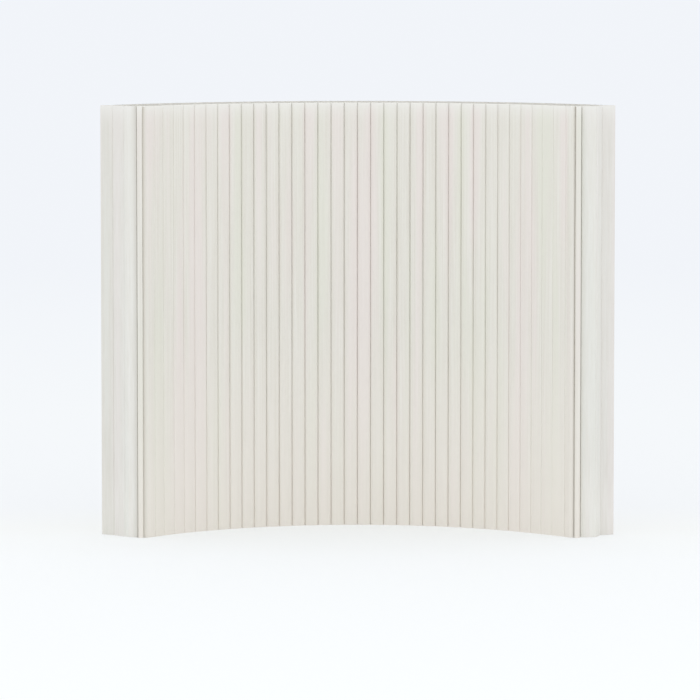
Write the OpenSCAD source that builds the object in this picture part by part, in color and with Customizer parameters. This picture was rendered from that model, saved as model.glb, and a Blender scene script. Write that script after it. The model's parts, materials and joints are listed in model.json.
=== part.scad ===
// Expandable paper wall: closed paper sleeves stand side by side on an arc and are
// glued in a honeycomb, between two end panels of three stiff folding strips each.
// The concave front faces -Y. The arc's centre lies in front of the wall.

/* [Wall] */
// Height of the wall
wall_h = 3050; // [1200:10:3600]
// Depth of a sleeve, from the front face to the back face
wall_t = 330; // [240:5:420]
// Radius of the arc that the front of the ribs touches
front_r = 2010; // [1800:10:4000]
// Pitch of the ribs along that arc
rib_pitch = 94.1; // [70:0.1:100]
// Number of paper sleeves
sleeve_count = 36; // [4:1:36]

/* [Paper] */
// Thickness of the paper
paper_t = 0.5; // [0.3:0.1:1.2]
// Glue line between two sleeves
glue_t = 0.2; // [0.1:0.05:0.4]
// How far the middle of a rib stands out from its edges
rib_crown = 4; // [1:0.5:8]
// Radius of a rib's rounded edges
rib_corner = 16; // [6:0.5:18]
// Width of each glued band between two sleeves
bond_w = 16; // [8:1:30]
// Width of each band where a sleeve is pinched shut
pinch_w = 10; // [5:1:20]
// Place of the pinched bands, as a share of the depth from the front and from the back
pinch_share = 0.27; // [0.25:0.01:0.3]

/* [End panels] */
// Width of one strip, from crease to crease
strip_w = 108; // [80:1:130]
// Thickness of one strip
strip_t = 12; // [8:0.5:16]
// Thickness of the cover round a strip
cover_t = 0.8; // [0.5:0.1:1.5]
// Gap between the cover and the board inside it
cover_fit = 0.2; // [0.1:0.05:0.5]
// How far the board stops short of the cover's two ends
board_recess = 2; // [0.5:0.5:6]
// Distance from a crease to the edges of the strips beside it
crease_gap = 1.6; // [1.5:0.1:3]
// Gap between the folded bead in a crease and those edges
crease_fit = 0.3; // [0.2:0.05:0.5]
// Glue line between a strip and the sleeve behind it
panel_glue = 0.3; // [0.2:0.05:0.6]
// Width of the groove between the end rib's side and the first strip
groove_w = 5; // [1:0.5:8]
// Width of the narrow end rib on the left
left_rib_w = 47; // [40:1:60]
// Width of the narrow end rib on the right
right_rib_w = 68; // [56:1:75]
// How far the left end rib stands out in front of its panel
left_rib_stand = 16; // [2:1:20]
// How far the right end rib stands out in front of its panel
right_rib_stand = 35; // [2:1:40]
// Radius of an end rib's edges
end_rib_corner = 7; // [2:0.5:8]

/* [Folds] */
// Left panel, angle in degrees by which the front strip leans out of the wall's end plane
left_front_lean = 12.2; // [5:0.1:25]
// Left panel, lean of the back strip in degrees
left_back_lean = 9.7; // [-5:0.1:15]
// Right panel, lean of the front strip in degrees
right_front_lean = 41.7; // [25:0.1:42]
// Right panel, lean of the middle strip in degrees
right_middle_lean = -26.4; // [-30:0.1:0]
// Right panel, lean of the back strip in degrees
right_back_lean = 17.5; // [0:0.1:25]

/* [Magnets] */
// Diameter of a magnet
magnet_d = 20; // [10:1:30]
// Thickness of a magnet
magnet_t = 2.5; // [1.5:0.5:4]
// Magnets in one strip
magnet_count = 12; // [4:1:14]
// Gap round a magnet in its pocket
magnet_fit = 0.2; // [0.1:0.05:0.4]

/* [Hidden] */
SIDES = ["left", "right"];
STRIPS = ["front", "middle", "back"];

paper_colour = "#E6E3DA";
cover_colour = "#E9E7E0";
crease_colour = "#DAD6CB";
board_colour = "#C9B79A";
magnet_colour = "#5A5C60";

face_steps = 5;                              // flats across half a rib's face
corner_steps = 4;                            // flats round an edge
fine = 64;                                   // segments of a full circle
cut_over = 1;                                // how far a cutting solid runs past the face it opens
back_r = front_r + wall_t;
step_a = rib_pitch / front_r * 180 / PI;     // angle that one sleeve takes
end_a = step_a * sleeve_count / 2;           // angle of the wall's two end planes
half_step = tan(step_a / 2);
seam_x = glue_t / 2;                         // from a seam's plane to the paper beside it
edge_r = strip_t / 2;                        // half-round edge of a strip
board_t = strip_t - 2 * (cover_t + cover_fit);
board_h = wall_h - 2 * board_recess;

function sleeve_name(n) = str("sleeve_", n < 10 ? "0" : "", n);
function backwards(p) = [for (i = [len(p) - 1 : -1 : 0]) p[i]];
function left_of(d) = [-d[1], d[0]];

// The direction of a line that leans by the angle a from +Y towards +X
function leaning(a) = [sin(a), cos(a)];

// A closed outline from its right half, which runs from the front to the back
function both_sides(half) =
    concat(half, [for (p = backwards(half)) if (p[0] > 0) [-p[0], p[1]]]);

// A closed outline moved inwards by t. Its points run anticlockwise.
function inset(p, t) = [for (i = [0 : len(p) - 1])
    let (n = len(p),
         a = p[i] - p[(i + n - 1) % n], b = p[(i + 1) % n] - p[i],
         na = left_of(a / norm(a)), nb = left_of(b / norm(b)))
    p[i] + t * (na + nb) / (1 + na * nb)];

// The left turn a-b-c rounded to the radius r
function rounded(a, b, c, r) =
    let (u = (a - b) / norm(a - b), v = (c - b) / norm(c - b),
         half = acos(u * v) / 2,
         centre = b + (u + v) / norm(u + v) * r / sin(half),
         from = b + u * r / tan(half) - centre)
    [for (i = [0 : corner_steps]) let (s = (180 - 2 * half) * i / corner_steps)
        centre + [from[0] * cos(s) - from[1] * sin(s), from[0] * sin(s) + from[1] * cos(s)]];

// --- Sleeves. Each is drawn with its middle line along +Y and the arc's centre at the origin ---

front_side = front_r + rib_crown + rib_corner;    // where the glued sides start
back_side = back_r - rib_crown - rib_corner;      // and where they end
middle_r = front_r + wall_t / 2;
front_pinch = front_r + wall_t * pinch_share;
back_pinch = back_r - wall_t * pinch_share;

// Half a sleeve's width between its neighbours, at the distance r from the arc's centre
function room(r) = r * half_step - seam_x;

// Half a rib's outline, from its crown at the distance r to its glued side.
// out is -1 on the wall's front and 1 on its back.
function half_rib(r, out) =
    let (side = r - out * (rib_crown + rib_corner), flat = room(side) - rib_corner,
         slope = 2 * atan(rib_crown / flat), reach = flat + rib_corner * sin(slope),
         sag = rib_crown + rib_corner * (1 - cos(slope)))
    concat([for (i = [0 : face_steps - 1]) let (s = i / face_steps) [reach * s, r - out * sag * s * s]],
           [for (i = [0 : corner_steps]) let (s = slope + (90 - slope) * i / corner_steps)
                [flat + rib_corner * sin(s), side + out * rib_corner * cos(s)]]);

// One side of the pleat from a glued band at the distance r to the pinch at the distance p
function taper(r, p) = [[room(r), r], [paper_t, p - sign(p - r) * pinch_w / 2]];

// Where the two sides of that taper would meet
function tip(r, p) = let (side = taper(r, p), run = side[1][1] - r)
    [0, r + run * room(r) / (room(r) - paper_t)];

front_taper = taper(front_side + bond_w, front_pinch);
inner_taper = taper(middle_r - bond_w / 2, front_pinch);
outer_taper = taper(middle_r + bond_w / 2, back_pinch);
back_taper = taper(back_side - bond_w, back_pinch);

// The paper's outline, and the three cells inside it
sleeve_half = concat(half_rib(front_r, -1), front_taper, backwards(inner_taper),
                     outer_taper, backwards(back_taper), backwards(half_rib(back_r, 1)));
front_cell = concat(half_rib(front_r, -1), [front_taper[0], tip(front_side + bond_w, front_pinch)]);
middle_cell = [tip(middle_r - bond_w / 2, front_pinch), inner_taper[0],
               outer_taper[0], tip(middle_r + bond_w / 2, back_pinch)];
back_cell = concat([tip(back_side - bond_w, back_pinch), back_taper[0]],
                   backwards(half_rib(back_r, 1)));

module sleeve(n) {
    color(paper_colour)
        in_wall() rotate([0, 0, end_a - (n - 0.5) * step_a])
            linear_extrude(wall_h) difference() {
                polygon(both_sides(sleeve_half));
                for (cell = [front_cell, middle_cell, back_cell])
                    polygon(inset(both_sides(cell), paper_t));
            }
}

// --- Ends. Each is drawn as a right end, with the wall's end plane along +Y ---

rib_edge = front_r + rib_crown;                   // where an end rib starts, on the end plane
rib_run = [cos(end_a), sin(end_a)];               // an end rib runs along the wall's width

// The front corner of an end, where its narrow rib turns back towards the panel
function front_corner(side) =
    [seam_x, rib_edge] + rib_run * (side == "left" ? left_rib_w : right_rib_w);

// The panel's front edge, on the outer face of its first strip
function panel_edge(side) =
    front_corner(side) + left_of(rib_run) * (side == "left" ? left_rib_stand : right_rib_stand);

// The wall folds up onto the left panel's middle strip, so that one points at the arc's centre
function lean(side, k) = side == "right" ? [right_front_lean, right_middle_lean, right_back_lean][k]
    : k == 0 ? left_front_lean : k == 2 ? left_back_lean : folded_plane(fold_point("left", 1));
function folded_plane(p) = atan(p[0] / p[1]);

// The panel's line in plan, along the middle of its strips: 0 is its front and 3 its back
function fold_point(side, k) =
    k == 0 ? panel_edge(side) + left_of(leaning(lean(side, 0))) * strip_t / 2
           : fold_point(side, k - 1) + leaning(lean(side, k - 1)) * strip_w;

// That line moved towards the wall by t
function behind(side, t) =
    let (n = [for (k = [0 : 2]) left_of(leaning(lean(side, k)))],
         p = [for (k = [0 : 3]) fold_point(side, k)])
    [p[0] + n[0] * t, p[1] + t * (n[0] + n[1]) / (1 + n[0] * n[1]),
     p[2] + t * (n[1] + n[2]) / (1 + n[1] * n[2]), p[3] + n[2] * t];

function end_outline(side) =
    let (corner = front_corner(side), back = behind(side, edge_r + panel_glue),
         start = [seam_x, rib_edge], finish = [seam_x, back_r - rib_crown])
    concat(rounded(finish, start, corner, end_rib_corner),
           rounded(start, corner, back[0], end_rib_corner), back,
           rounded(back[3], finish, start, rib_corner));

module end_sleeve(side) {
    outline = end_outline(side);
    color(paper_colour) at_end(side) linear_extrude(wall_h) difference() {
        polygon(outline);
        polygon(inset(outline, paper_t));
    }
}

// How far along the front strip the middle of its first half-round edge lies, so that the
// edge stands off the end rib's side by the groove
function first_edge(side) =
    let (d = leaning(lean(side, 0)), n = left_of(d), reach = edge_r + panel_glue,
         rib_side = front_corner(side) - fold_point(side, 0) - n * reach,
         u = rib_side / norm(rib_side))
    (edge_r + groove_w + reach * (u * d)) / -(u * n);

// The middle line of strip k, as its first and last point, between its half-round edges
function strip_line(side, k) =
    let (p = fold_point(side, k), d = leaning(lean(side, k)))
    [p + d * (k == 0 ? first_edge(side) : edge_r + crease_gap),
     p + d * (strip_w - edge_r - (k == 2 ? 0 : crease_gap))];

// A flat bar with half-round edges along that line, r thick on each side of it
module strip_bar(side, k, r, h) {
    ends = strip_line(side, k);
    across = left_of(leaning(lean(side, k))) * r;
    for (p = ends) translate(p) cylinder(r = r, h = h, $fn = fine);
    linear_extrude(h) polygon([ends[0] - across, ends[1] - across, ends[1] + across, ends[0] + across]);
}

// Stands a disc of height h at each magnet's place, pushed out from the board's outer face
module magnet_discs(side, k, r, h) {
    ends = strip_line(side, k);
    pitch = board_h / magnet_count;
    for (i = [0 : magnet_count - 1])
        translate(concat((ends[0] + ends[1]) / 2, board_recess + (i + 0.5) * pitch))
            rotate([0, 0, -lean(side, k)]) translate([board_t / 2 - magnet_t, 0, 0])
                rotate([0, 90, 0]) cylinder(r = r, h = h, $fn = fine);
}

module strip_cover(side, k) {
    color(cover_colour) at_end(side) difference() {
        strip_bar(side, k, edge_r, wall_h);
        translate([0, 0, -cut_over]) strip_bar(side, k, edge_r - cover_t, wall_h + 2 * cut_over);
    }
}

module strip_board(side, k) {
    color(board_colour) at_end(side) difference() {
        translate([0, 0, board_recess]) strip_bar(side, k, board_t / 2, board_h);
        translate([-magnet_fit * cos(lean(side, k)), magnet_fit * sin(lean(side, k)), 0])
            magnet_discs(side, k, magnet_d / 2 + magnet_fit, magnet_t + cut_over);
    }
}

module strip_magnets(side, k) {
    color(magnet_colour) at_end(side) magnet_discs(side, k, magnet_d / 2, magnet_t);
}

// The folded bead of paper that two strips turn on
module crease(side, k) {
    color(crease_colour) at_end(side)
        translate(fold_point(side, k)) cylinder(r = crease_gap - crease_fit, h = wall_h, $fn = fine);
}

// --- Placing. The origin is the middle of the wall's footprint, on the floor ---

function end_reach(side) = let (p = strip_line(side, 2)[1])
    p[0] * cos(end_a) + p[1] * sin(end_a) + edge_r;
wall_x = (end_reach("left") - end_reach("right")) / 2;
wall_y = -(rib_edge * cos(end_a) + back_r) / 2;

module in_wall() {
    translate([wall_x, wall_y, 0]) children();
}

module at_end(side) {
    in_wall() mirror([side == "left" ? 1 : 0, 0, 0]) rotate([0, 0, -end_a]) children();
}

for (n = [1 : sleeve_count])
    sleeve(n);
for (side = SIDES) {
    end_sleeve(side);
    for (k = [0 : 2]) {
        strip_cover(side, k);
        strip_board(side, k);
        strip_magnets(side, k);
    }
    crease(side, 1);
    crease(side, 2);
}
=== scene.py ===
import bpy
import json
import math
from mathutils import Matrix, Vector, noise
from mathutils.geometry import tessellate_polygon


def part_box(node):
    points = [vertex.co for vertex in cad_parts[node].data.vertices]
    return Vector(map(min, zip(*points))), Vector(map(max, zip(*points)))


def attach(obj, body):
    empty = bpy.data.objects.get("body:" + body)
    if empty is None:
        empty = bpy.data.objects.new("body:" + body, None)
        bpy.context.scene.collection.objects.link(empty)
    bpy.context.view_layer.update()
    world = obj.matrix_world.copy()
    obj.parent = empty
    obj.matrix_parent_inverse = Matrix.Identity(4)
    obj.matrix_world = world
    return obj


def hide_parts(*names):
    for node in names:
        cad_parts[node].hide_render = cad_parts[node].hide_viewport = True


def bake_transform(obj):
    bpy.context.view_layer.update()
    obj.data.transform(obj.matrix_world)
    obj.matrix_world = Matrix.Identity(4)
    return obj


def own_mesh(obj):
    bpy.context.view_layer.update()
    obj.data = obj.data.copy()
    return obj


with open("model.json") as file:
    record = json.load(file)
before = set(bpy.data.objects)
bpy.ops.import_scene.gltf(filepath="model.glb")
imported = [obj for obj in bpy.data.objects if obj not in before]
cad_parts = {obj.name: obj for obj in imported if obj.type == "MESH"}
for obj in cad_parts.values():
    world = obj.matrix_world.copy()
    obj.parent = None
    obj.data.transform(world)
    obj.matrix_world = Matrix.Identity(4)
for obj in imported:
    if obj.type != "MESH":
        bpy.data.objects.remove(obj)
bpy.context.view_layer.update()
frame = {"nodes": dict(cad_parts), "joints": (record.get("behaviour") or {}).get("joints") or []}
mm = 0.001

# The wall stands on an arc round the hinge that it closes on; its hollow side faces -Y.
closingHinge = next(joint for joint in frame["joints"] if joint["name"] == "wall_close")
arcCentre = Vector(closingHinge["pos_m"][:2])
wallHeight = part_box("left_middle_cover")[1].z / mm
sleeveNames = sorted(name for name in frame["nodes"] if name.startswith("sleeve_"))

wall = {
    "frontRadius": 2010,    # mm, to the front of the ribs
    "depth": 330,
    "ribPitch": 94.1,       # along the front
    "glue": 0.2,            # glue line between two sleeves
}
backRadius = wall["frontRadius"] + wall["depth"]
stepAngle = wall["ribPitch"] / wall["frontRadius"]
endAngle = stepAngle * len(sleeveNames) / 2


# Plan geometry, in millimetres

def leaning(angle):
    # a direction turned from +Y towards +X
    return Vector((math.sin(angle), math.cos(angle)))


def leftOf(direction):
    return Vector((-direction.y, direction.x))


def signedArea(loop):
    following = loop[1:] + loop[:1]
    return sum(a[0] * b[1] - b[0] * a[1] for a, b in zip(loop, following)) / 2


def inset(loop, thickness):
    # the outline moved inwards; it runs anticlockwise
    moved = []
    for i, point in enumerate(loop):
        before = leftOf((point - loop[i - 1]).normalized())
        after = leftOf((loop[(i + 1) % len(loop)] - point).normalized())
        moved.append(point + (before + after) * thickness / (1 + before.dot(after)))
    return moved


def rounded(before, corner, after, radius, steps):
    # a left turn, rounded
    u = (before - corner).normalized()
    v = (after - corner).normalized()
    half = math.acos(u.dot(v)) / 2
    centre = corner + (u + v).normalized() * radius / math.sin(half)
    start = corner + u * radius / math.tan(half) - centre
    points = []
    for i in range(steps + 1):
        turn = (math.pi - 2 * half) * i / steps
        points.append(centre + Vector((start.x * math.cos(turn) - start.y * math.sin(turn),
                                       start.x * math.sin(turn) + start.y * math.cos(turn))))
    return points


def toWorld(point, angle, mirrored=False):
    # a plan point drawn with the wall's radius along +Y, turned to its place on the arc
    x = point[0] * math.cos(angle) + point[1] * math.sin(angle)
    y = point[1] * math.cos(angle) - point[0] * math.sin(angle)
    return Vector(((-x if mirrored else x) * mm + arcCentre.x, y * mm + arcCentre.y))


# Meshes

def makeObject(name, vertices, faces, material, sharpAngle=32):
    mesh = bpy.data.meshes.new(name)
    mesh.from_pydata(vertices, [], faces)
    mesh.polygons.foreach_set("use_smooth", [True] * len(mesh.polygons))
    mesh.set_sharp_from_angle(angle=math.radians(sharpAngle))
    mesh.materials.append(material)
    mesh.update()
    piece = bpy.data.objects.new(name, mesh)
    bpy.context.scene.collection.objects.link(piece)
    return piece


def fillLoops(loops):
    # triangles over the first loop less the others; indices run through the loops in order
    return tessellate_polygon([[Vector((p[0], p[1], 0)) for p in loop] for loop in loops])


def oriented(triangle, points, upwards):
    # the triangle's corners in the order that makes it face up or down
    a, b, c = (points[i] for i in triangle)
    isUp = (b[0] - a[0]) * (c[1] - a[1]) - (b[1] - a[1]) * (c[0] - a[0]) > 0
    return tuple(triangle) if isUp == upwards else tuple(reversed(triangle))


def sweepUp(rings, vertices, faces, facesIn=False):
    # Adds a closed form swept up through rings. Each ring is its height in mm and its loops in
    # world metres: the first is the outside and the others are hollows that run right through.
    base = len(vertices)
    for height, loops in rings:
        for loop in loops:
            vertices += [(p[0], p[1], height * mm) for p in loop]
    firstLoops = rings[0][1]
    ringSize = sum(len(loop) for loop in firstLoops)
    for level in range(len(rings) - 1):
        start = base + level * ringSize
        for index, loop in enumerate(firstLoops):
            outwards = ((signedArea(loop) > 0) == (index == 0)) != facesIn
            for i in range(len(loop)):
                j = (i + 1) % len(loop)
                quad = (start + i, start + j, start + ringSize + j, start + ringSize + i)
                faces.append(quad if outwards else tuple(reversed(quad)))
            start += len(loop)
    last = len(rings) - 1
    for level, upwards in ((0, facesIn), (last, not facesIn)):
        flat = [p for loop in rings[level][1] for p in loop]
        start = base + level * ringSize
        faces += [tuple(start + i for i in oriented(triangle, flat, upwards))
                  for triangle in fillLoops(rings[level][1])]


def ringHeights(count, start=0, end=wallHeight):
    return [start + (end - start) * i / (count - 1) for i in range(count)]


# Materials

def toLinear(hexColour):
    channels = [int(hexColour[i:i + 2], 16) / 255 for i in (1, 3, 5)]
    return [c / 12.92 if c <= 0.04045 else ((c + 0.055) / 1.055) ** 2.4 for c in channels] + [1]


def addNode(tree, kind, settings={}, links={}):
    # one node with its settings, its input values and the sockets that feed it
    node = tree.nodes.new(kind)
    for key, value in settings.items():
        if isinstance(key, str) and hasattr(node, key):
            setattr(node, key, value)
        else:
            node.inputs[key].default_value = value
    for key, socket in links.items():
        tree.links.new(socket, node.inputs[key])
    return node


def newMaterial(name):
    material = bpy.data.materials.new(name)
    material.use_nodes = True
    material.node_tree.nodes.clear()
    return material, material.node_tree


def placeAlong(tree, axis):
    # how far a point lies along one of the wall's axes, in m
    place = addNode(tree, "ShaderNodeTexCoord")
    axes = addNode(tree, "ShaderNodeSeparateXYZ", {}, {0: place.outputs["Object"]})
    return axes.outputs[axis]


def cells(tree, across, along):
    # object coordinates scaled so that one unit is a cell that wide and that tall, in mm
    place = addNode(tree, "ShaderNodeTexCoord")
    scale = (1 / (across * mm), 1 / (across * mm), 1 / (along * mm))
    return addNode(tree, "ShaderNodeVectorMath", {"operation": "MULTIPLY", 1: scale},
                   {0: place.outputs["Object"]}).outputs[0]


# a colour mix's two colours and its result go by number, because their names repeat
firstColour, secondColour, mixedColour = 6, 7, 2


def laidOver(tree, tone, colour, value, begins, full, most=1):
    # the tone, a hex value or a socket, passing over to the colour while the value runs from
    # one number to another
    share = addNode(tree, "ShaderNodeMapRange",
                    {"From Min": begins, "From Max": full, "To Max": most}, {"Value": value})
    mix = addNode(tree, "ShaderNodeMix", {"data_type": "RGBA", secondColour: toLinear(colour)},
                  {0: share.outputs[0]})
    if isinstance(tone, str):
        mix.inputs[firstColour].default_value = toLinear(tone)
    else:
        tree.links.new(tone, mix.inputs[firstColour])
    return mix.outputs[mixedColour]


def tinted(tree, tone, look):
    # No roll of paper keeps one hue: it drifts a little both ways from run to run. Each hue
    # begins on its own side of the noise's middle value and is full a little further out.
    drift = addNode(tree, "ShaderNodeTexNoise", {"Scale": 1, "Detail": 1, "Roughness": 0.4},
                    {"Vector": cells(tree, look["tintAcross"], look["tintAlong"])})
    for tint, begins, full in zip(look["tints"], (0.53, 0.47), (0.66, 0.34)):
        tone = laidOver(tree, tone, tint, drift.outputs["Fac"], begins, full, look["tintShare"])
    return tone


def daylitTop(tree, tone, look):
    # at the open top edge daylight comes through the sheet, and fades fast below it
    top = wallHeight * mm
    nearTop = addNode(tree, "ShaderNodeMapRange",
                      {"From Min": top - look["litBelow"] * mm, "From Max": top},
                      {"Value": placeAlong(tree, "Z")})
    daylight = addNode(tree, "ShaderNodeMath", {"operation": "POWER", 1: 3},
                       {0: nearTop.outputs[0]})
    return addNode(tree, "ShaderNodeMix",
                   {"data_type": "RGBA", secondColour: toLinear(look["lit"])},
                   {0: daylight.outputs[0], firstColour: tone}).outputs[mixedColour]


def paintedGrooveShade(tree, tone, look):
    # Painted shade: where a surface turns down into one of the deep grooves near the wall's ends,
    # its colour is darkened for the shade there: from nothing at the first place along X to full at
    # the second, up to the third.
    x = placeAlong(tree, "X")
    for begins, full, end in look["grooveShadeRuns"]:
        rising = addNode(tree, "ShaderNodeMapRange", {"From Min": begins, "From Max": full},
                         {"Value": x})
        curved = addNode(tree, "ShaderNodeMath", {"operation": "POWER", 1: 1.5},
                         {0: rising.outputs[0]})
        within = addNode(tree, "ShaderNodeMath",
                         {"operation": "GREATER_THAN" if begins > end else "LESS_THAN", 1: end},
                         {0: x})
        share = addNode(tree, "ShaderNodeMath", {"operation": "MULTIPLY"},
                        {0: curved.outputs[0], 1: within.outputs[0]})
        tone = addNode(tree, "ShaderNodeMix",
                       {"data_type": "RGBA", secondColour: toLinear(look["grooveShade"])},
                       {0: share.outputs[0], firstColour: tone}).outputs[mixedColour]
    return tone


paperLook = {
    "pale": "#E7E5DE", "deep": "#DFDCD3", "fibre": "#EBE9E2",
    "lit": "#EDECE7", "litBelow": 200,         # mm below the top edge
    "rim": "#F6F5F0", "rimBelow": 5,           # mm: palest where the cut edge shows
    "warmed": "#EDE8E0", "warmedShare": 0.8,   # the floor's bounce is warmer on the paper
    "warmedBelow": 1500,                       # mm
    "tints": ("#E9E0DD", "#E2E3D7"), "tintShare": 0.6,
    "tintAcross": 130, "tintAlong": 2600,      # mm
    # painted shade down into the deep grooves beside the two last seams
    "grooveShade": "#D7D3CA",
    "grooveShadeRuns": [(-1.476, -1.504, -1.513), (1.5, 1.528, 1.534)],    # m along X
    "bandAcross": 11, "bandAlong": 900,        # mm: the faint bands left by rolling the web
    "fibreSize": 5,                            # mm: real fibres are 2 to 3, drawn coarser to show
    "fibreRelief": 0.15,                       # mm
    "roughness": 0.88,
}


def foldedPaper():
    # White kraft paper, machine rolled and uncoated: dead matt, with faint bands along the
    # roll and a little fibre mottle, so that long faces aren't one flat tone.
    material, tree = newMaterial("foldedKraftPaper")
    bands = addNode(tree, "ShaderNodeTexNoise", {"Scale": 1, "Detail": 2, "Roughness": 0.5},
                    {"Vector": cells(tree, paperLook["bandAcross"], paperLook["bandAlong"])})
    fibres = addNode(tree, "ShaderNodeTexNoise", {"Scale": 1, "Detail": 4, "Roughness": 0.7},
                     {"Vector": cells(tree, paperLook["fibreSize"], paperLook["fibreSize"] * 2)})
    tone = laidOver(tree, paperLook["deep"], paperLook["pale"], bands.outputs["Fac"], 0.3, 0.7)
    tone = laidOver(tree, tone, paperLook["fibre"], fibres.outputs["Fac"], 0.45, 0.8, most=0.6)
    tone = tinted(tree, tone, paperLook)
    height = placeAlong(tree, "Z")
    tone = laidOver(tree, tone, paperLook["warmed"], height,
                    paperLook["warmedBelow"] * mm, 0, paperLook["warmedShare"])
    tone = daylitTop(tree, tone, paperLook)
    tone = paintedGrooveShade(tree, tone, paperLook)
    top, rim = wallHeight * mm, paperLook["rimBelow"]
    tone = laidOver(tree, tone, paperLook["rim"], height, top - rim * mm, top - rim / 3 * mm)
    relief = addNode(tree, "ShaderNodeBump",
                     {"Strength": 0.25, "Distance": paperLook["fibreRelief"] * mm},
                     {"Height": fibres.outputs["Fac"]})
    shader = addNode(tree, "ShaderNodeBsdfPrincipled",
                     {"Roughness": paperLook["roughness"], "IOR": 1.45, "Specular IOR Level": 0.25},
                     {"Base Color": tone, "Normal": relief.outputs["Normal"]})
    addNode(tree, "ShaderNodeOutputMaterial", {}, {"Surface": shader.outputs[0]})
    return material


coverLook = {
    # the pale and the deep tone of each copy, each darker than the last: painted shade for the
    # strips that get less light
    "shadeSteps": [("#E9E8E3", "#E3E1DA"), ("#E5E3DE", "#DFDCD6"), ("#E1DFD9", "#DBD9D1")],
    "lit": "#ECEBE7", "litBelow": 250,       # mm below the top edge
    "footGain": 1.07, "footBelow": 500,      # mm: paler where the pale floor lights it
    "tints": ("#E8E2DF", "#E2E4DE"), "tintShare": 0.35,
    "tintAcross": 70, "tintAlong": 2600,     # mm
    # painted shade where the left front strip turns into the groove beside the end rib
    "grooveShade": "#D5D3CC",
    "grooveShadeRuns": [(-1.596, -1.556, -1.5)],  # m along X
    "grainAcross": 16, "grainAlong": 260,    # mm
    "fibreSize": 4,                          # mm: drawn coarser than real fibres, to show
    "fibreRelief": 0.1,                      # mm
    "roughness": 0.8,
}


def wrappedCover(shadeStep):
    # Heavier calendered paper drawn tight round a board: a shade whiter and smoother than
    # the pleats, with a soft lengthwise grain where it was smoothed down by hand. There are
    # three copies, each a shade darker than the last: painted shade for the strips that get less
    # light.
    pale, deep = coverLook["shadeSteps"][shadeStep]
    material, tree = newMaterial(f"calenderedCoverPaperShade{shadeStep + 1}")
    grain = addNode(tree, "ShaderNodeTexNoise", {"Scale": 1, "Detail": 3, "Roughness": 0.55},
                    {"Vector": cells(tree, coverLook["grainAcross"], coverLook["grainAlong"])})
    fibres = addNode(tree, "ShaderNodeTexNoise", {"Scale": 1, "Detail": 3, "Roughness": 0.6},
                     {"Vector": cells(tree, coverLook["fibreSize"], coverLook["fibreSize"])})
    tone = laidOver(tree, deep, pale, grain.outputs["Fac"], 0.3, 0.7)
    tone = daylitTop(tree, tinted(tree, tone, coverLook), coverLook)
    footGain = addNode(tree, "ShaderNodeMapRange",
                       {"From Min": coverLook["footBelow"] * mm, "From Max": 0,
                        "To Min": 1, "To Max": coverLook["footGain"]},
                       {"Value": placeAlong(tree, "Z")})
    tone = addNode(tree, "ShaderNodeVectorMath", {"operation": "SCALE"},
                   {0: tone, "Scale": footGain.outputs[0]}).outputs[0]
    relief = addNode(tree, "ShaderNodeBump",
                     {"Strength": 0.2, "Distance": coverLook["fibreRelief"] * mm},
                     {"Height": fibres.outputs["Fac"]})
    shader = addNode(tree, "ShaderNodeBsdfPrincipled",
                     {"Roughness": coverLook["roughness"], "IOR": 1.45, "Specular IOR Level": 0.3},
                     {"Base Color": paintedGrooveShade(tree, tone, coverLook),
                      "Normal": relief.outputs["Normal"]})
    addNode(tree, "ShaderNodeOutputMaterial", {}, {"Surface": shader.outputs[0]})
    return material


boardLook = {
    "pale": "#CDBD9F", "deep": "#B09C7C", "fleck": "#8F7C60",
    "fibreSize": 3,        # mm
    "fibreRelief": 0.2,    # mm
    "roughness": 0.92,
}


def greyBoard():
    # Pulp board pressed from waste paper: warm grey-brown, short fibres and darker flecks.
    material, tree = newMaterial("pressedPulpBoard")
    place = cells(tree, boardLook["fibreSize"], boardLook["fibreSize"] * 3)
    pulp = addNode(tree, "ShaderNodeTexNoise", {"Scale": 1, "Detail": 5, "Roughness": 0.65},
                   {"Vector": place})
    flecks = addNode(tree, "ShaderNodeTexVoronoi", {"Scale": 0.7}, {"Vector": place})
    tone = laidOver(tree, boardLook["deep"], boardLook["pale"], pulp.outputs["Fac"], 0.3, 0.7)
    tone = laidOver(tree, tone, boardLook["fleck"], flecks.outputs["Distance"], 0.18, 0.05)
    relief = addNode(tree, "ShaderNodeBump",
                     {"Strength": 0.3, "Distance": boardLook["fibreRelief"] * mm},
                     {"Height": pulp.outputs["Fac"]})
    shader = addNode(tree, "ShaderNodeBsdfPrincipled", {"Roughness": boardLook["roughness"]},
                     {"Base Color": tone, "Normal": relief.outputs["Normal"]})
    addNode(tree, "ShaderNodeOutputMaterial", {}, {"Surface": shader.outputs[0]})
    return material


magnetLook = {
    "bright": "#C9CCD0", "dull": "#A3A7AC",
    "scuffSize": 2,                        # mm
    "roughness": 0.28, "scuffed": 0.43,    # the roughness of clean and of scuffed plating
}


def nickelPlate():
    # Bright nickel plated on a sintered magnet: a cool mirror-like skin with handling scuffs.
    material, tree = newMaterial("nickelPlatedMagnet")
    scuffs = addNode(tree, "ShaderNodeTexNoise", {"Scale": 1, "Detail": 4},
                     {"Vector": cells(tree, magnetLook["scuffSize"], magnetLook["scuffSize"])})
    rough = addNode(tree, "ShaderNodeMapRange",
                    {"To Min": magnetLook["roughness"], "To Max": magnetLook["scuffed"]},
                    {"Value": scuffs.outputs["Fac"]})
    plating = laidOver(tree, magnetLook["dull"], magnetLook["bright"], scuffs.outputs["Fac"], 0, 1)
    shader = addNode(tree, "ShaderNodeBsdfPrincipled", {"Metallic": 1.0},
                     {"Base Color": plating, "Roughness": rough.outputs[0]})
    addNode(tree, "ShaderNodeOutputMaterial", {}, {"Surface": shader.outputs[0]})
    return material


paperMaterial = foldedPaper()
coverMaterials = [wrappedCover(shadeStep) for shadeStep in range(len(coverLook["shadeSteps"]))]
boardMaterial = greyBoard()
magnetMaterial = nickelPlate()
print("materials ready")

# Sleeves: each is a pleat glued to the next one at the front, in the middle and at the back

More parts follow.
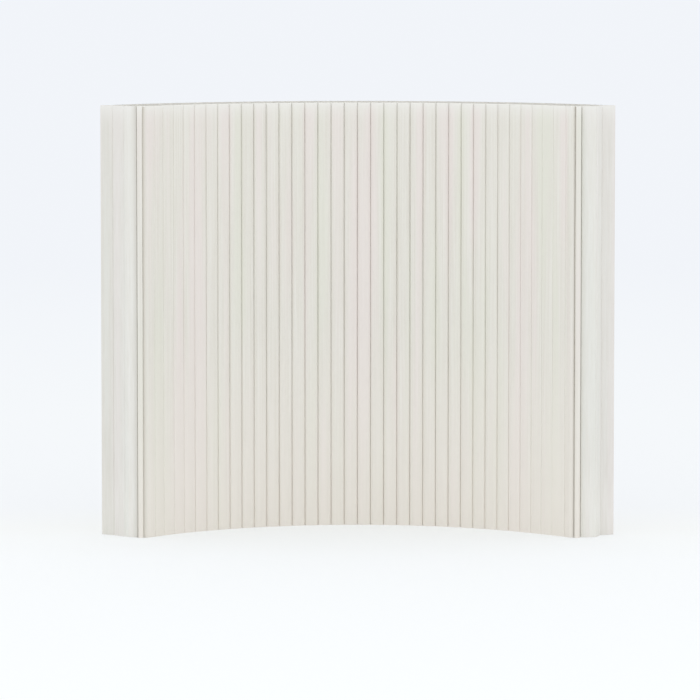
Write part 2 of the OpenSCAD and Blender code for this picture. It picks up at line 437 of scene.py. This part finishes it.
sleeve = {
    "paper": 0.5,            # mm, one sheet
    "crown": 4,              # how far a rib's middle stands out
    "tightCrown": 1.8,       # and towards the wall's ends, where the paper is pulled tighter
    "corner": 24.5,          # how far the edges beside a seam are rounded over
    "tightCorner": 3,        # and towards the ends
    "cornerDepth": 0.8,      # and how deep, as a share of that
    "tightCount": 10,        # over so many seams
    "lastCorner": 34,        # beside the two last seams
    "lastGap": {"left": 7, "right": 8},    # by which those stand open at the front
    "bond": 16,              # width of a glued band
    "pinch": 10,             # width of a pinched band
    "pinchShare": 0.27,      # its place in the depth
    "faceSteps": 7,
    "cornerSteps": 7,
    "rings": 26,
    "waveLength": 520,       # mm: how far apart the hand-opened pleat's soft waves lie
    "cornerWave": 0.07,      # share by which the rounded edges vary
    "crownWave": 0.9,        # mm by which the crowns vary
    "foldedShare": 0.0155,   # a folded sleeve's thickness over an open one's
    # mm along X by which a seam's front was pushed aside
    "pulled": {0: 8, 1: 9, 4: -5, 5: -3,
               28: 1, 29: 3, 30: 4, 31: 5, 32: 6, 33: 3, 34: 8, 35: 25, 36: 12},
    "pulledDepth": 75,       # mm behind the front where that has died away
}
frontPinch = wall["frontRadius"] + wall["depth"] * sleeve["pinchShare"]
backPinch = backRadius - wall["depth"] * sleeve["pinchShare"]
middleRadius = wall["frontRadius"] + wall["depth"] / 2
deepestCorner = sleeve["corner"] * sleeve["cornerDepth"] * (1 + sleeve["cornerWave"])
gluedSide = sleeve["crown"] + sleeve["crownWave"] + deepestCorner + sleeve["bond"]


def room(radius):
    # half a sleeve's width between its neighbours
    return radius * math.tan(stepAngle / 2) - wall["glue"] / 2


def halfRib(radius, out, crown, corner):
    # from the middle of the rib's face, over its rounded edge to the seam
    depth = sleeve["cornerDepth"]
    side = radius - out * (crown + corner * depth)
    flat = room(side) - corner
    slope = 2 * math.atan(crown / depth / flat)
    reach = flat + corner * math.sin(slope)
    sag = crown + corner * depth * (1 - math.cos(slope))
    points = []
    for i in range(sleeve["faceSteps"]):
        share = i / sleeve["faceSteps"]
        points.append(Vector((reach * share, radius - out * sag * share * share)))
    for i in range(sleeve["cornerSteps"] + 1):
        turn = slope + (math.pi / 2 - slope) * i / sleeve["cornerSteps"]
        points.append(Vector((flat + corner * math.sin(turn),
                              side + out * corner * depth * math.cos(turn))))
    return points


def taper(radius, pinch):
    # a cell's side, from the end of a glued band to the pinched band that it narrows to
    towards = 1 if pinch > radius else -1
    return [Vector((room(radius), radius)),
            Vector((sleeve["paper"], pinch - towards * sleeve["pinch"] / 2))]


def tip(side):
    # where a cell's two sides would meet
    wide, narrow = side
    return Vector((0, wide.y + (narrow.y - wide.y) * wide.x / (wide.x - narrow.x)))


def bothSides(right, left):
    # the right half's points and the left half's mirrored, with those on the middle line once
    return right + [Vector((-p.x, p.y)) for p in reversed(left) if p.x > 0]


def halfLoops(crown, corner):
    # half a sleeve: its outside, then its front, middle and back cell
    front = halfRib(wall["frontRadius"], -1, crown, corner)
    back = halfRib(backRadius, 1, crown, corner)
    frontTaper = taper(wall["frontRadius"] + gluedSide, frontPinch)
    innerTaper = taper(middleRadius - sleeve["bond"] / 2, frontPinch)
    outerTaper = taper(middleRadius + sleeve["bond"] / 2, backPinch)
    backTaper = taper(backRadius - gluedSide, backPinch)
    return [front + frontTaper + innerTaper[::-1] + outerTaper + backTaper[::-1] + back[::-1],
            front + [frontTaper[0], tip(frontTaper)],
            [tip(innerTaper), innerTaper[0], outerTaper[0], tip(outerTaper)],
            [tip(backTaper), backTaper[0]] + back[::-1]]


def soft(height, seed):
    # a smooth value from about -1 to 1 that wanders up the wall, another for each seed
    seedSpacing, gain = 7.3, 1.6
    return noise.noise(Vector((height / sleeve["waveLength"], seed * seedSpacing, 0.5))) * gain


def eased(share):
    share = min(1, max(0, share))
    return share * share * (3 - 2 * share)


def openness(seam):
    # 0 beside the wall's ends and 1 over most of it
    return eased((min(seam, len(sleeveNames) - seam) - 1) / sleeve["tightCount"])


def edgeRadius(seam, height):
    spread = sleeve["corner"] - sleeve["tightCorner"]
    radius = sleeve["tightCorner"] + spread * openness(seam)
    if seam in (0, len(sleeveNames)):
        radius = sleeve["lastCorner"]
    seamSeed = 60 + seam    # above the sleeves' own
    return radius * (1 + sleeve["cornerWave"] * soft(height, seamSeed))


def pushed(seam, point, more=0):
    # how far a point beside a seam was pushed aside, in mm; it dies away behind the front
    fromFront = point[1] - wall["frontRadius"]
    return (sleeve["pulled"].get(seam, 0) + more) * (1 - eased(fromFront / sleeve["pulledDepth"]))


def placedInWall(point, number, angle):
    place = toWorld(point, angle)
    share = (point[0] / room(point[1]) + 1) / 2
    place.x += (pushed(number, point) * (1 - share) + pushed(number + 1, point) * share) * mm
    return place


def foldAgainst(piece):
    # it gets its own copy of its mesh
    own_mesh(piece)


def pleat(number, name):
    angle = (number + 0.5) * stepAngle - endAngle
    ease = (openness(number) + openness(number + 1)) / 2
    evenCrown = sleeve["tightCrown"] + (sleeve["crown"] - sleeve["tightCrown"]) * ease
    rings = []
    for height in ringHeights(sleeve["rings"]):
        crown = evenCrown + sleeve["crownWave"] * soft(height, number + 1)
        halves = zip(halfLoops(crown, edgeRadius(number + 1, height)),
                     halfLoops(crown, edgeRadius(number, height)))
        outside, *hollows = [bothSides(right, left) for right, left in halves]
        loops = [outside] + [inset(hollow, sleeve["paper"]) for hollow in hollows]
        rings.append((height, [[placedInWall(p, number, angle) for p in loop] for loop in loops]))
    vertices, faces = [], []
    sweepUp(rings, vertices, faces)
    piece = makeObject("pleat_" + name[-2:], vertices, faces, paperMaterial)
    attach(piece, "sleeve_body_" + name[-2:])
    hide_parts(name)
    foldAgainst(piece)


for number, name in enumerate(sleeveNames):
    pleat(number, name)
print("sleeves ready:", len(sleeveNames))

# End panels: three stiff strips on each side, folded about two creases

panel = {
    "stripWidth": 108,       # mm, from crease to crease
    "thickness": 12,
    "cover": 0.8,
    "creaseGap": 1.6,        # from a crease to the strips beside it
    "glue": 0.3,             # between a strip and the sleeve behind it
    "ribCorner": 6,          # radius of the narrow end rib's edges
    "ribWave": 0.12,         # share by which that varies
    "backCorner": 16,
    "seamPoints": (32, 16, 0),    # mm behind a glued band, where the seam's face can bend
    "lip": 0.8,              # radius of the cover's turned-in ends
    "lipBend": 0.3,          # where a turned-in end's slope changes, as a share of that
    "levels": 8,             # a strip's height is cut into so many
    "edgeSteps": 7,
    "faceSteps": 24,
}
# Each side's end rib: its width, how far it stands out in front of the panel, by how much it
# was folded too narrow, and the seed of its soft waves. Then how far each strip leans out of
# the wall's end plane, in degrees, how far the front strip bulges, how wide the groove beside
# it is, and which copy of the cover each strip takes, the darker ones painted shade for the
# strips that get less light. Lengths are in mm.
panelFolds = {
    "left": {"ribWidth": 47, "ribStand": 16, "ribTrim": 0, "seed": 5,
             "leans": [12.2, None, 9.7], "bulge": 6.5, "groove": 5.8, "shadeSteps": [0, 1, 2]},
    "right": {"ribWidth": 68, "ribStand": 35, "ribTrim": 1.5, "seed": 9,
              "leans": [41.7, -26.4, 17.5], "bulge": 5, "groove": 4, "shadeSteps": [0, 0, 1]},
}
stripNames = ["front", "middle", "back"]
halfThickness = panel["thickness"] / 2


def foldPlan(side):
    # the panel's line through its strips: four points, and the direction of each strip
    ribEdge = Vector((wall["glue"] / 2, wall["frontRadius"] + sleeve["crown"]))
    ribRun = Vector((math.cos(endAngle), math.sin(endAngle)))
    corner = ribEdge + ribRun * panelFolds[side]["ribWidth"]
    leans = panelFolds[side]["leans"]
    points = [corner + leftOf(ribRun) * panelFolds[side]["ribStand"]
              + leftOf(leaning(math.radians(leans[0]))) * halfThickness]
    directions = []
    for lean in leans:
        if lean is None:    # this strip points at the arc's centre
            direction = points[-1].normalized()
        else:
            direction = leaning(math.radians(lean))
        directions.append(direction)
        points.append(points[-1] + direction * panel["stripWidth"])
    return ribEdge, corner, points, directions


def behind(points, directions, distance):
    # that line moved in towards the sleeves
    normals = [leftOf(direction) for direction in directions]
    moved = [points[0] + normals[0] * distance]
    for k in (1, 2):
        both = normals[k - 1] + normals[k]
        moved.append(points[k] + both * distance / (1 + normals[k - 1].dot(normals[k])))
    moved.append(points[3] + normals[2] * distance)
    return moved


def endSleeve(side):
    # the half sleeve between the last seam and the panel, with the narrow end rib in front
    fold, onLeft = panelFolds[side], side == "left"
    ribEdge, corner, points, directions = foldPlan(side)
    back = behind(points, directions, halfThickness + panel["glue"])
    corner = corner - (corner - ribEdge).normalized() * fold["ribTrim"]
    finish = Vector((ribEdge.x, backRadius - sleeve["crown"]))
    seam = 0 if onLeft else len(sleeveNames)
    gap = sleeve["lastGap"][side] * (-1 if onLeft else 1)
    seamFace = [Vector((ribEdge.x, wall["frontRadius"] + gluedSide + more))
                for more in panel["seamPoints"]]
    rings = []
    for height in ringHeights(sleeve["rings"]):
        ribCorner = panel["ribCorner"] * (1 + panel["ribWave"] * soft(height, fold["seed"]))
        outside = (rounded(finish, ribEdge, corner, ribCorner, panel["edgeSteps"])
                   + rounded(ribEdge, corner, back[0], ribCorner, panel["edgeSteps"] - 1) + back
                   + rounded(back[3], finish, ribEdge, panel["backCorner"], panel["edgeSteps"])
                   + seamFace)
        loops = []
        for loop in (outside, inset(outside, sleeve["paper"])):
            placed = [toWorld(p, endAngle, onLeft) for p in loop]
            for place, p in zip(placed, loop):
                share = min(1, max(0, (p.x - ribEdge.x) / (corner.x - ribEdge.x)))
                place.x += pushed(seam, p, gap) * (1 - share) * mm
            loops.append(placed)
        rings.append((height, loops))
    vertices, faces = [], []
    sweepUp(rings, vertices, faces)
    piece = makeObject(side + "_end_pleat", vertices, faces, paperMaterial)
    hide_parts(side + "_end_sleeve")
    if onLeft:      # on the left it goes with the root body
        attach(piece, "root")
        foldAgainst(piece)
    else:
        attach(piece, "right_end")
        foldAgainst(piece)


# Each strip's crown, the lengths over which it rises and falls, and the radii of its rounded
# outer corners at its start and its end, in mm. The front strip's crown is its side's bulge.
stripShapes = {
    "front": {"crown": None, "rise": 38, "fall": 34, "radii": (5.5, 6)},
    "middle": {"crown": 1.2, "rise": 40, "fall": 30, "radii": (6, 6)},
    "back": {"crown": 0.8, "rise": 30, "fall": 40, "radii": (6, 6)},
}


def firstEdge(side):
    # how far along its line the front strip starts, so that it clears the end rib's side
    corner, points, directions = foldPlan(side)[1:]
    inward = leftOf(directions[0])
    reach = halfThickness + panel["glue"]
    ribSide = (corner - points[0] - inward * reach).normalized()
    clear = halfThickness + panelFolds[side]["groove"] + reach * ribSide.dot(directions[0])
    return clear / -ribSide.dot(inward) - halfThickness


def stripOutline(side, strip):
    # along the strip and out from the wall; it runs round by the outer face first
    shape = stripShapes[strip]
    start = firstEdge(side) if strip == "front" else panel["creaseGap"]
    end = panel["stripWidth"] - (0 if strip == "back" else panel["creaseGap"])
    startRadius, endRadius = shape["radii"]
    crown = panelFolds[side]["bulge"] if strip == "front" else shape["crown"]
    quarter = [math.pi / 2 * i / panel["edgeSteps"] for i in range(panel["edgeSteps"] + 1)]
    points = [(start + startRadius * (1 - math.cos(a)),
               halfThickness - startRadius * (1 - math.sin(a))) for a in quarter]
    left, right = start + startRadius, end - endRadius
    for i in range(1, panel["faceSteps"]):
        place = left + (right - left) * i / panel["faceSteps"]
        rising = min(1, (place - left) / shape["rise"])
        falling = min(1, (right - place) / shape["fall"])
        rise = crown * (1 - (1 - rising) ** 2) * (1 - (1 - falling) ** 2)
        points.append((place, halfThickness + rise))
    points += [(end - endRadius * (1 - math.sin(a)), halfThickness - endRadius * (1 - math.cos(a)))
               for a in quarter]
    points += [(end - halfThickness * (1 - math.cos(a)), -halfThickness * math.sin(a))
               for a in quarter]
    points += [(start + halfThickness * (1 - math.sin(a)), -halfThickness * math.cos(a))
               for a in quarter]
    nearest = 0.01    # mm: closer points are one
    kept = []
    for point in points:
        if not kept or (Vector(point) - Vector(kept[-1])).length > nearest:
            kept.append(point)
    if (Vector(kept[0]) - Vector(kept[-1])).length < nearest:
        kept.pop()
    return kept


def stripBody(side, strip):
    if strip != "middle":
        return f"{side}_{strip}_strip"
    return "root" if side == "left" else "right_middle_strip"


def stripCover(side, strip):
    # a closed paper skin round the board, with its ends turned in
    points, directions = foldPlan(side)[2:]
    k = stripNames.index(strip)
    along = directions[k]
    out = -leftOf(along)
    plan = [points[k] + along * s + out * n for s, n in stripOutline(side, strip)]
    if signedArea(plan) < 0:
        plan.reverse()
    top, lip, cover = wallHeight, panel["lip"], panel["cover"]
    bend = lip * panel["lipBend"]
    skin = [(0, inset(plan, lip)), (bend, inset(plan, bend)), (lip, plan)]
    skin += [(height, plan) for height in ringHeights(panel["levels"] + 1)[1:-1]]
    skin += [(top - lip, plan), (top - bend, inset(plan, bend)), (top, inset(plan, lip))]
    hollow = inset(plan, cover)
    vertices, faces = [], []
    for rings, facesIn in ((skin, False), ([(cover, hollow), (top - cover, hollow)], True)):
        placed = [(height, [[toWorld(p, endAngle, side == "left") for p in loop]])
                  for height, loop in rings]
        sweepUp(placed, vertices, faces, facesIn)
    # a strip that gets less light takes a darker copy of the cover: painted shade
    material = coverMaterials[panelFolds[side]["shadeSteps"][k]]
    piece = makeObject(f"{side}_{strip}_skin", vertices, faces, material)
    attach(piece, stripBody(side, strip))
    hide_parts(f"{side}_{strip}_cover")


crease = {
    "thickness": 0.6,           # mm
    "dip": {1: 1.8, 2: 3.6},    # how far the front and the back one lie below the strips' faces
    "sag": 0.3,                 # how much deeper the fold's middle lies
    "clearance": 0.2,
}


def creasePaper(side, k):
    # the cover paper runs on from strip to strip, pressed down between their rounded edges
    points, directions = foldPlan(side)[2:]
    before, after = directions[k - 1], directions[k]
    turn = math.atan2(before.y * after.x - before.x * after.y, before.dot(after)) / 2
    radius = stripShapes[stripNames[k]]["radii"][0]
    # the middle of the next strip's rounded edge, along and out from the crease
    middle = Vector((panel["creaseGap"] + radius, halfThickness - radius))
    middle = Vector((middle.x * math.cos(turn) - middle.y * math.sin(turn),
                     middle.x * math.sin(turn) + middle.y * math.cos(turn)))
    level = radius - crease["dip"][k]
    reach = middle.x - math.sqrt(radius ** 2 - level ** 2) - crease["clearance"]
    face = middle.y + level
    under = face - crease["thickness"]
    along = (before + after).normalized()
    out = -leftOf(along)
    section = ((-reach, face), (0, face - crease["sag"]), (reach, face),
               (reach, under), (0, under - crease["sag"]), (-reach, under))
    plan = [points[k] + along * s + out * n for s, n in section]
    placed = [toWorld(p, endAngle, side == "left") for p in plan]
    heights = ringHeights(panel["levels"] + 1, panel["lip"], wallHeight - panel["lip"])
    rings = [(height, [placed]) for height in heights]
    vertices, faces = [], []
    sweepUp(rings, vertices, faces)
    fold = ["front", "back"][k - 1]
    # the fold takes the next strip's copy of the cover, darker where that one is painted shade
    material = coverMaterials[panelFolds[side]["shadeSteps"][k]]
    piece = makeObject(f"{side}_{fold}_fold", vertices, faces, material)
    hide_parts(f"{side}_{fold}_crease")
    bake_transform(piece)


for side in panelFolds:
    endSleeve(side)
    for strip in stripNames:
        stripCover(side, strip)
        for layer, material in (("board", boardMaterial), ("magnets", magnetMaterial)):
            node = frame["nodes"][f"{side}_{strip}_{layer}"]
            node.data.materials.clear()
            node.data.materials.append(material)
    for k in (1, 2):
        creasePaper(side, k)
print("end panels ready")

# Floor, light and camera

studio = {
    # the floor's tone at distances along Y, in m
    "floorTones": [(-9, "#FAFDFF"), (-1.5, "#F8FBFF"), (0, "#F4F6F7"), (1.2, "#F0F3F9"),
                   (7, "#F0F3F8"), (24, "#E9ECF5")],
    "floorSize": 900,           # m: it reaches past the top of the picture
    "seenWhite": "#FCFFFF",     # mixed into the floor where the camera sees it
    "seenShare": 0.43,          # so much of it
    "worldColour": "#F3F6FB",
    "worldStrength": 1.0,
}


def seenDirectly(tree):
    # 1 for what the camera sees, also in or through something, and 0 for light on the object
    path = addNode(tree, "ShaderNodeLightPath")
    seen = addNode(tree, "ShaderNodeMath", {"operation": "MAXIMUM"},
                   {0: path.outputs["Is Camera Ray"], 1: path.outputs["Is Glossy Ray"]})
    return addNode(tree, "ShaderNodeMath", {"operation": "MAXIMUM"},
                   {0: seen.outputs[0], 1: path.outputs["Is Transmission Ray"]}).outputs[0]


def studioFloor():
    # Matt painted board floor: flat, a shade cooler with distance, and it keeps the shadow.
    material, tree = newMaterial("paintedStudioFloor")
    nearest, farthest = studio["floorTones"][0][0], studio["floorTones"][-1][0]
    distance = addNode(tree, "ShaderNodeMapRange", {"From Min": nearest, "From Max": farthest},
                       {"Value": placeAlong(tree, "Y")})
    tones = addNode(tree, "ShaderNodeValToRGB", {}, {0: distance.outputs[0]})
    stops = tones.color_ramp.elements
    while len(stops) < len(studio["floorTones"]):
        stops.new(0.5)
    for stop, (y, tone) in zip(stops, studio["floorTones"]):
        stop.position = (y - nearest) / (farthest - nearest)
        stop.color = toLinear(tone)
    lit = addNode(tree, "ShaderNodeBsdfDiffuse", {}, {"Color": tones.outputs[0]})
    white = addNode(tree, "ShaderNodeEmission",
                    {"Color": toLinear(studio["seenWhite"]), "Strength": 1})
    share = addNode(tree, "ShaderNodeMath", {"operation": "MULTIPLY", 1: studio["seenShare"]},
                    {0: seenDirectly(tree)})
    shader = addNode(tree, "ShaderNodeMixShader", {},
                     {0: share.outputs[0], 1: lit.outputs[0], 2: white.outputs[0]})
    addNode(tree, "ShaderNodeOutputMaterial", {}, {"Surface": shader.outputs[0]})
    return material


half = studio["floorSize"] / 2
floorCorners = [(-half, -half, 0), (half, -half, 0), (half, half, 0), (-half, half, 0)]
floor = makeObject("studioFloor", floorCorners, [(0, 1, 2, 3)], studioFloor())

world = bpy.data.worlds.new("softStudio")
world.use_nodes = True
bpy.context.scene.world = world
worldTree = world.node_tree
worldTree.nodes.clear()
light = addNode(worldTree, "ShaderNodeBackground",
                {"Color": (1, 1, 1, 1), "Strength": studio["worldStrength"]})
backdrop = addNode(worldTree, "ShaderNodeBackground",
                   {"Color": toLinear(studio["worldColour"]), "Strength": 1})
surround = addNode(worldTree, "ShaderNodeMixShader", {},
                   {0: seenDirectly(worldTree), 1: light.outputs[0], 2: backdrop.outputs[0]})
addNode(worldTree, "ShaderNodeOutputWorld", {}, {"Surface": surround.outputs[0]})

frontBox = {
    "place": (0, -14, 2.5),    # m
    "aim": (0, 0, 1.4),
    "size": (10, 4),
    "power": 70,               # W
}
lamp = bpy.data.lights.new("frontSoftBox", "AREA")
lamp.shape = "RECTANGLE"
lamp.size, lamp.size_y = frontBox["size"]
lamp.energy = frontBox["power"]
lampObject = bpy.data.objects.new("frontSoftBox", lamp)
lampObject.location = frontBox["place"]
beam = Vector(frontBox["aim"]) - Vector(frontBox["place"])
lampObject.rotation_euler = beam.to_track_quat("-Z", "Y").to_euler()
lampObject.visible_camera = False
bpy.context.scene.collection.objects.link(lampObject)

camera = {
    "distance": 30.383,    # m in front of the arc's rearmost front point
    "height": 4.217,
    "sideways": -0.0532,   # from the arc's middle
    "pitchDown": 4.19,     # degrees
    "lens": 218,           # mm
    "sensor": 36,
    "shiftUp": -0.143,     # the photo is cut from a taller picture
    "farthest": 2000,      # m: past the floor's end
}
cameraData = bpy.data.cameras.new("camera")
cameraData.lens = camera["lens"]
cameraData.sensor_width = camera["sensor"]
cameraData.shift_y = camera["shiftUp"]
cameraData.clip_end = camera["farthest"]
cameraObject = bpy.data.objects.new("camera", cameraData)
cameraObject.location = (arcCentre.x + camera["sideways"],
                         arcCentre.y + wall["frontRadius"] * mm - camera["distance"],
                         camera["height"])
cameraObject.rotation_euler = (math.radians(90 - camera["pitchDown"]), 0, 0)
bpy.context.scene.collection.objects.link(cameraObject)
bpy.context.scene.camera = cameraObject
bpy.context.scene.view_settings.view_transform = "Standard"
print("studio ready")
